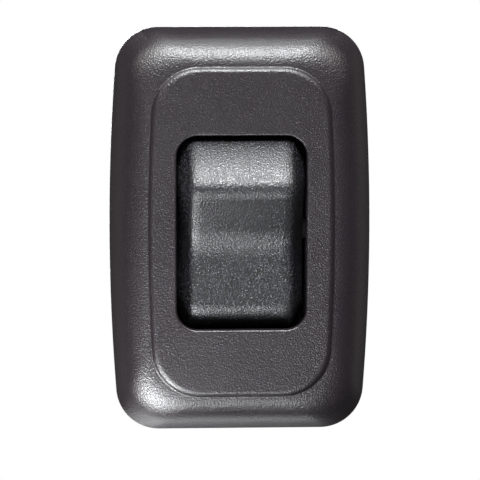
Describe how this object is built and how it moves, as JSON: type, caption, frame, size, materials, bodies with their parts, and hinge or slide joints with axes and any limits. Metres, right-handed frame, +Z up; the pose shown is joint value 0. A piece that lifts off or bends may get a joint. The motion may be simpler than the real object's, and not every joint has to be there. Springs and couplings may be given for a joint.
{
  "type": "rocker wall switch",
  "caption": "Contoured black rocker wall switch with a rounded clip-on face plate over a screw-fixed mounting frame and tab terminals.",
  "frame": {"origin": "centre of the wall plane, behind the middle of the rocker opening; the face plate's rim and the mounting frame's back lie in this plane", "axes": "+X to the right as seen from the room, +Y into the wall, +Z up"},
  "size_m": [0.047, 0.0382, 0.073],
  "materials": {
    "face_plate": "fine moulded grain, satin",
    "mounting_frame": "moulded nylon",
    "mount_screws": "zinc plated",
    "switch_housing": "moulded nylon",
    "terminal_base": "moulded phenolic",
    "rocker": "leather grain, semi-gloss",
    "plunger": "natural acetal",
    "plunger_spring": "drawn wire",
    "contact_blade": "rolled copper alloy",
    "contacts": "silver",
    "terminals": "stamped brass",
    "common_rivet": "turned brass"
  },
  "bodies": {
    "base": {"face_plate": "face_plate", "mounting_frame": "mounting_frame", "upper_mount_screw": "mount_screws", "lower_mount_screw": "mount_screws", "switch_housing": "switch_housing", "terminal_base": "terminal_base", "common_terminal": "terminals", "load_terminal": "terminals", "common_rivet": "common_rivet", "fixed_contact": "contacts"},
    "rocker": {"rocker": "rocker", "plunger_spring": "plunger_spring"},
    "plunger": {"plunger": "plunger"},
    "blade": {"contact_blade": "contact_blade", "moving_contact": "contacts"}
  },
  "joints": [
    {"name": "rocker_tilt", "type": "hinge", "parent": "base", "child": "rocker", "pos_m": [0, 0.0022, 0], "axis": [-1, 0, 0], "range_deg": [0, 30]},
    {"name": "blade_tilt", "type": "hinge", "parent": "base", "child": "blade", "pos_m": [0, 0.0107, 0], "axis": [-1, 0, 0], "range_deg": [-15.6, 0]},
    {"name": "plunger_slide", "type": "slide", "parent": "rocker", "child": "plunger", "axis": [0, -0.9659, -0.2588], "range_m": [0, 0.0009], "stiffness_N_per_m": 1000, "springref_m": -0.002, "deforming": ["plunger_spring"]}
  ],
  "couplings": [
    {"joint": "blade_tilt", "follows": "rocker_tilt", "ratio": -0.52}
  ]
}
